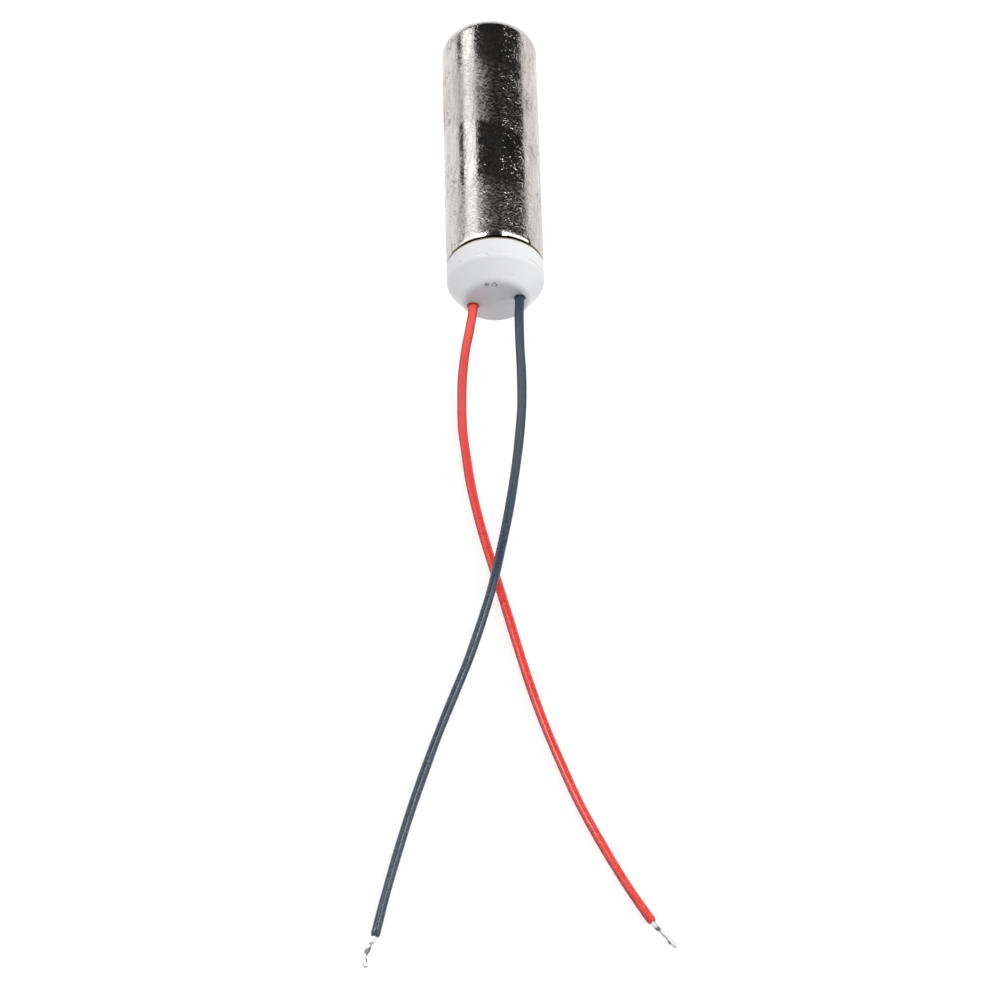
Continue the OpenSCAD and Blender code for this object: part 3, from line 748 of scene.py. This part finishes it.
def make_end_cap():
    """Moulded cap: band, rounded cone and face, with two lead holes and the hidden spigot."""
    edge_r = 0.22 * MM
    spigot_r = BORE_R - FIT_GAP
    neck_r = spigot_r - 0.11 * MM
    groove_r = spigot_r - 0.3 * MM
    cup_r = BORE_R - 0.67 * MM
    inside_y = FACE_Y + CAP_FLOOR
    rim = Vector((FACE_R, FACE_Y + FACE_RIM_R))
    shoulder = Vector((CAN_R - SHOULDER_R, SEAM_Y - BAND_LEN))
    cone = shoulder - rim
    facing = math.degrees(math.atan2(cone.y, cone.x)
                          - math.acos((FACE_RIM_R - SHOULDER_R) / cone.length))
    # From the seam on, in millimetres: neck, lead-in, land, sealant groove, land and open end.
    spigot = [(neck_r, 0), (neck_r, 0.25), (spigot_r, 0.6), (spigot_r, 1.0), (groove_r, 1.0),
              (groove_r, 1.5), (spigot_r, 1.5), (spigot_r, 2.2), (cup_r, 2.2)]
    outline = ([(0, FACE_Y)]
               + arc(rim, FACE_RIM_R, -90, facing, 10)
               + arc(shoulder, SHOULDER_R, facing, 0, 10)
               + arc((CAN_R - edge_r, SEAM_Y - edge_r), edge_r, 0, 90, 7)
               + [(r, SEAM_Y + from_seam * MM) for r, from_seam in spigot]
               + [(cup_r, inside_y + CUP_CHAMFER_LEN), (cup_r - CUP_CHAMFER_R, inside_y),
                  (0, inside_y)])
    piece = stand_for("moulded_cap", "end_cap", "housing", lathe_mesh(outline, closed=False))
    # The cutter widens in front of the face, so that each hole gets a small lead-in.
    lead_in = 0.04 * MM
    for hole in (RED_HOLE, BLUE_HOLE):
        drill(piece, hole, [(HOLE_R + 13 * lead_in, -0.5 * MM), (HOLE_R + lead_in, 0),
                            (HOLE_R, lead_in), (HOLE_R, CAP_FLOOR + 0.2 * MM)])


def drill(piece, centre, outline):
    """Takes a turned shape out of a piece. The outline's points are (radius, y) from the centre."""
    mesh_data = bmesh.new()
    rings = [[mesh_data.verts.new((centre.x + r * math.cos(a), centre.y + y,
                                   centre.z + r * math.sin(a)))
              for a in round_turns(48)] for r, y in outline]
    for a, b in zip(rings, rings[1:]):
        join_rings(mesh_data, a, b)
    mesh_data.faces.new(rings[0])
    mesh_data.faces.new(reversed(rings[-1]))
    subtract(piece, mesh_data)


def subtract(piece, mesh_data):
    """Cuts a closed mesh out of a piece."""
    cutter = new_object("cutter", mesh_data, piece.data.materials[0])
    cut = piece.modifiers.new("cut", "BOOLEAN")
    cut.operation = "DIFFERENCE"
    cut.solver = "EXACT"
    cut.object = cutter
    bpy.context.view_layer.update()
    evaluated = piece.evaluated_get(bpy.context.evaluated_depsgraph_get())
    made = bpy.data.meshes.new_from_object(evaluated)
    piece.modifiers.clear()
    piece.data = made
    bpy.data.objects.remove(cutter)


# ---- Inside the can ----

def extent(node):
    """A turned CAD node's greatest radius and its two ends along the axis."""
    low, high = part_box(node)
    return (high.x - low.x) / 2, low.y, high.y


def make_bush(name, node, body, bore, edge):
    """A plain ring with rounded edges, as long and as wide as its CAD node."""
    radius, low, high = extent(node)
    stand_for(name, node, body, lathe_mesh(rounded((bore, low), (radius, high), edge)))


def make_seals():
    """The sealant bead in the spigot's groove, and the potting round both leads."""
    radius, low, high = extent("cap_sealant")
    middle = (low + high) / 2
    bore = BORE_R - 0.3 * MM
    sag = 0.04 * MM
    bead = [(bore, low), (radius, low), (radius, high), (bore, high), (bore + sag, middle)]
    stand_for("sealant_bead", "cap_sealant", "housing", lathe_mesh(bead))

    radius, low, high = extent("lead_potting")
    dip = 0.15 * MM
    meniscus = [(radius * share, high - dip * (1 - share ** 3)) for share in
                (i / 8 for i in range(8, -1, -1))]
    fill = [(0, low), (radius - CUP_CHAMFER_R, low), (radius, low + CUP_CHAMFER_LEN)] + meniscus
    piece = stand_for("cured_potting", "lead_potting", "housing", lathe_mesh(fill, closed=False))
    for hole in (RED_HOLE, BLUE_HOLE):
        drill(piece, hole, [(JACKET_R + PRESS_GAP, CAP_FLOOR - MM),
                            (JACKET_R + PRESS_GAP, high - FACE_Y + MM)])


def make_motor_can():
    """The inner motor's steel can, with a rounded front corner."""
    radius, low, high = extent("motor_can")
    wall = 0.25 * MM
    corner_r = 0.5 * MM
    corner = (radius - corner_r, high - corner_r)
    chamfer = 0.05 * MM
    outline = ([(TUBE_SEAT_R, high)] + arc(corner, corner_r, 90, 0, 10)
               + [(radius, low + chamfer), (radius - chamfer, low), (radius - wall, low)]
               + arc(corner, corner_r - wall, 0, 90, 6) + [(TUBE_SEAT_R, high - wall)])
    stand_for("drawn_motor_can", "motor_can", "housing", lathe_mesh(outline))


def make_bearing_tube():
    """Brass tube with a collar in front of the motor can's wall."""
    collar_r, low, high = extent("bearing_tube")
    tube_r = collar_r - 0.35 * MM
    bore = 0.76 * MM
    front = high - 0.34 * MM
    chamfer = 0.1 * MM
    edge = 0.03 * MM
    outline = [(bore + edge, low), (tube_r - edge, low), (tube_r, low + edge), (tube_r, front),
               (collar_r, front), (collar_r, high - chamfer), (collar_r - chamfer, high),
               (bore, high), (bore, low + edge)]
    stand_for("brass_tube", "bearing_tube", "housing", lathe_mesh(outline))


def make_brush_holder():
    """Moulded plug with a rim that centres it in the motor can, and a slot for each terminal."""
    flange_r, low, high = extent("brush_holder")
    plug_r = flange_r - 0.25 * MM
    floor_y = low + 0.6 * MM
    step_y = low + 0.44 * MM
    wall = 0.38 * MM
    edge = 0.05 * MM
    outline = ([(0, low)] + arc((flange_r - edge, low + edge), edge, -90, 0, 3)
               + [(flange_r, step_y), (plug_r, step_y)]
               + arc((plug_r - edge, high - edge), edge, 0, 90, 3)
               + [(plug_r - wall, high), (plug_r - wall, floor_y + 2 * edge),
                  (plug_r - wall - 2 * edge, floor_y), (0, floor_y)])
    piece = stand_for("moulded_brush_holder", "brush_holder", "housing",
                      lathe_mesh(outline, closed=False))
    thick, deep, wide = 0.25 * MM, 4 * MM, 0.92 * MM
    slot_x = HOLE_PITCH_R + 0.14 * MM + thick / 2
    for side in (1, -1):
        slot = bmesh.new()
        bmesh.ops.create_cube(slot, size=1)
        bmesh.ops.scale(slot, vec=(thick, deep, wide), verts=slot.verts)
        bmesh.ops.translate(slot, vec=(side * slot_x, low, 0), verts=slot.verts)
        turn = Matrix.Rotation(-LEAD_ANGLE, 4, "Y")
        to_axis = Matrix.Translation((0, 0, AXIS_Z))
        bmesh.ops.transform(slot, matrix=to_axis @ turn, verts=slot.verts)
        subtract(piece, slot)


def make_winding():
    """Self-supporting cup of wire: its bundles cross its wall at a slant, on both faces."""
    radius, low, high = extent("winding")
    bore = radius - 0.35 * MM
    middle_r = (radius + bore) / 2
    bundles = 72
    slant = math.radians(70) / (high - low)
    groove = 0.02 * MM
    rows = 48

    def wire(r, y, angle):
        way = 1 if r > middle_r else -1
        ridge = abs(math.cos(bundles / 2 * (angle + way * slant * (y - low))))
        return r - way * groove * (1 - ridge)

    outside = [(radius, low + (high - low) * i / rows) for i in range(rows + 1)]
    inside = [(bore, y) for _, y in reversed(outside)]
    stand_for("wound_cup", "winding", "rotor",
              lathe_mesh(outside + inside, sides=6 * bundles, relief=wire), 50)


def make_hub():
    """Moulded plate that joins the winding and the commutator to the shaft."""
    radius, low, high = extent("commutator_hub")
    boss_r = 0.85 * MM
    disc_y = low + 1.4 * MM
    seat_y = disc_y + 0.49 * MM
    rim_r = 2.24 * MM
    rim_bore = rim_r - 0.3 * MM
    rim_y = disc_y + 1.0 * MM
    web_y = disc_y + 0.5 * MM
    press_r = SHAFT_R + PRESS_GAP
    edge = 0.05 * MM
    outline = [(press_r, low), (boss_r - edge, low), (boss_r, low + edge), (boss_r, disc_y),
               (radius - edge, disc_y), (radius, disc_y + edge), (radius, seat_y), (rim_r, seat_y),
               (rim_r, rim_y - edge), (rim_r - edge, rim_y), (rim_bore, rim_y), (rim_bore, web_y),
               (boss_r, web_y), (boss_r, high - edge), (boss_r - edge, high), (press_r, high)]
    stand_for("moulded_hub", "commutator_hub", "rotor", lathe_mesh(outline))


def make_shaft():
    """Ground shaft with rounded tips."""
    radius, low, high = extent("shaft")
    tip = 0.1 * MM
    outline = ([(0, low)] + arc((radius - tip, low + tip), tip, -90, 0, 4)
               + arc((radius - tip, high - tip), tip, 0, 90, 4) + [(0, high)])
    stand_for("ground_shaft", "shaft", "rotor", lathe_mesh(outline, sides=64, closed=False))


def make_weight():
    """Half-round weight: a half disc that hangs down, with a small boss round the shaft.

    Its flat side lies flat_z above the motor's axis.
    """
    radius, low, high = extent("eccentric_weight")
    boss_r = 1.15 * MM
    flat_z = 0.25 * MM
    edge = 0.08 * MM

    def half_disc(r, y, angle):
        up = math.cos(angle)
        reach = min(radius, max(boss_r, flat_z / up if up > 1e-6 else radius))
        return r if r < boss_r else r - radius + reach

    outline = ([(SHAFT_R + PRESS_GAP, low)]
               + arc((radius - edge, low + edge), edge, -90, 0, 3)
               + arc((radius - edge, high - edge), edge, 0, 90, 3)
               + [(SHAFT_R + PRESS_GAP, high)])
    stand_for("half_round_weight", "eccentric_weight", "rotor",
              lathe_mesh(outline, sides=720, relief=half_disc), 30)


def finish_cad_node(node, edge):
    """Gives a flat-sided CAD piece rounded edges and its own material."""
    part = frame["nodes"][node]
    slots = part.material_slots
    if not slots:
        part.data.materials.append(None)
    for slot in slots:
        slot.material = MATERIALS[SLOTS[node]]
    bevel = part.modifiers.new("edges", "BEVEL")
    bevel.width = edge
    bevel.segments = 2
    bevel.limit_method = "ANGLE"
    bevel.angle_limit = math.radians(40)


def make_inside():
    """Every piece that the can hides, from the cap to the closed end."""
    make_seals()
    make_bush("wrapped_sleeve", "insulating_sleeve", "housing", extent("motor_can")[0] + FIT_GAP,
              0.03 * MM)
    make_motor_can()
    make_bearing_tube()
    make_bush("sintered_front_bearing", "front_bearing", "housing", BEARING_BORE_R, 0.05 * MM)
    make_bush("sintered_rear_bearing", "rear_bearing", "housing", BEARING_BORE_R, 0.05 * MM)
    make_bush("ring_magnet", "magnet", "housing", TUBE_SEAT_R, 0.12 * MM)
    make_brush_holder()
    make_shaft()
    make_winding()
    make_hub()
    make_bush("front_thrust_washer", "front_washer", "rotor", BEARING_BORE_R, 0.04 * MM)
    make_bush("rear_thrust_washer", "rear_washer", "rotor", BEARING_BORE_R, 0.04 * MM)
    make_weight()
    for node, edge_mm in (("positive_terminal", 0.025), ("negative_terminal", 0.025),
                          ("positive_brush", 0.015), ("negative_brush", 0.015),
                          ("commutator_bars", 0.015), ("solder_joints", 0.03),
                          ("winding_taps", 0.03)):
        finish_cad_node(node, edge_mm * MM)


# ---- Floor and lights ----

def make_floor():
    """A wide pale floor with a low raised edge, in three rings (radius, height)."""
    mesh_data = bmesh.new()
    rings = [[mesh_data.verts.new((r * math.cos(a), r * math.sin(a), z)) for a in round_turns(96)]
             for r, z in ((2.0, 0.0), (2.1, 0.04), (2.2, 0.15))]
    mesh_data.faces.new(rings[0])
    for a, b in zip(rings, rings[1:]):
        join_rings(mesh_data, a, b)
    g = Graph("studio_floor", Emission_Color=(1.0, 1.0, 1.0, 1.0), Emission_Strength=0.09,
              Specular_IOR_Level=0.0)
    paper = g.blend(g.noise(0.02, 2.0), (0.93, 0.93, 0.93), (0.92, 0.92, 0.925))
    floor = new_object("studio_floor", mesh_data, g.finish(paper, 0.9, g.noise(3.0, 2.0), 0.01))


def softbox(name, low_angle, high_angle, low_y, high_y, radiance, distance=0.28):
    """A flat panel beside the motor, as bright as radiance, that spans two angles from upright.

    The angles are in degrees, and those to the motor's left are negative.
    """
    middle = math.radians((low_angle + high_angle) / 2)
    spread = math.radians((high_angle - low_angle) / 2)
    data = bpy.data.lights.new(name, "AREA")
    data.shape = "RECTANGLE"
    data.size = 2 * distance * math.tan(spread)
    data.size_y = high_y - low_y
    data.energy = radiance * math.pi * data.size * data.size_y
    light = bpy.data.objects.new(name, data)
    bpy.context.scene.collection.objects.link(light)
    outward = Vector((math.sin(middle), 0, math.cos(middle)))
    place = outward * distance + Vector((0, (low_y + high_y) / 2, AXIS_Z))
    along = Vector((0, 1, 0))
    turn = Matrix((along.cross(outward), along, outward)).transposed().to_4x4()
    light.matrix_world = Matrix.Translation(place) @ turn
    return light


def distant_light(name, toward, radiance, spread):
    """An even, distant light that the metal doesn't mirror.

    A white surface that faces it looks as bright as radiance.
    """
    data = bpy.data.lights.new(name, "SUN")
    data.energy = radiance * math.pi
    data.angle = math.radians(spread)
    light = bpy.data.objects.new(name, data)
    light.matrix_world = Vector(toward).to_track_quat("Z", "Y").to_matrix().to_4x4()
    light.visible_glossy = False
    bpy.context.scene.collection.objects.link(light)
    return light


def make_lights():
    """Softboxes and narrow strips that the metal mirrors, and distant lights that it doesn't.

    The left boxes give the can its bright stripe, the right ones its specks and the bright bend
    at the rim. The strips, close by, give the leads their highlights.
    """
    world = bpy.data.worlds.new("studio")
    world.use_nodes = True
    world.node_tree.nodes["Background"].inputs[0].default_value = (0.02, 0.02, 0.02, 1)
    bpy.context.scene.world = world

    left, right, strip = 1.5, 1.9, 22.0
    near_by = 0.112
    softbox("softbox_left", -70, -38, 0.06, 0.45, left).visible_diffuse = False
    softbox("softbox_low_left", -84, -36.5, -0.05, 0.06, left).visible_diffuse = False
    softbox("softbox_right", 22, 79, -0.041, 0.035, right).data.use_shadow = False
    softbox("softbox_high_right", 22, 79, 0.035, 0.064, right).visible_diffuse = False
    for name, low_angle, high_angle in (("strip_left", -34, -23), ("strip_right", 17, 25)):
        box = softbox(name, low_angle, high_angle, -0.02, 0.012, strip, near_by)
        box.visible_diffuse = False

    distant_light("even_light", (0, 0, 1), 0.66, 5).data.use_shadow = False
    distant_light("right_fill", (0.95, 0.05, 0.3), 0.23, 40).data.use_shadow = False
    distant_light("left_fill", (-0.95, 0.05, 0.3), 0.14, 40).data.use_shadow = False
    distant_light("soft_shadow_light", (0, 0.42, 0.91), 0.17, 90)
    bpy.context.scene.view_settings.view_transform = "Standard"


make_camera()
make_lead("red", RED_HOLE, RED_ROUTE_MM, RED_BARE_MM)
make_lead("blue", BLUE_HOLE, BLUE_ROUTE_MM, BLUE_BARE_MM)
make_outer_can()
make_end_cap()
make_inside()
make_floor()
make_lights()
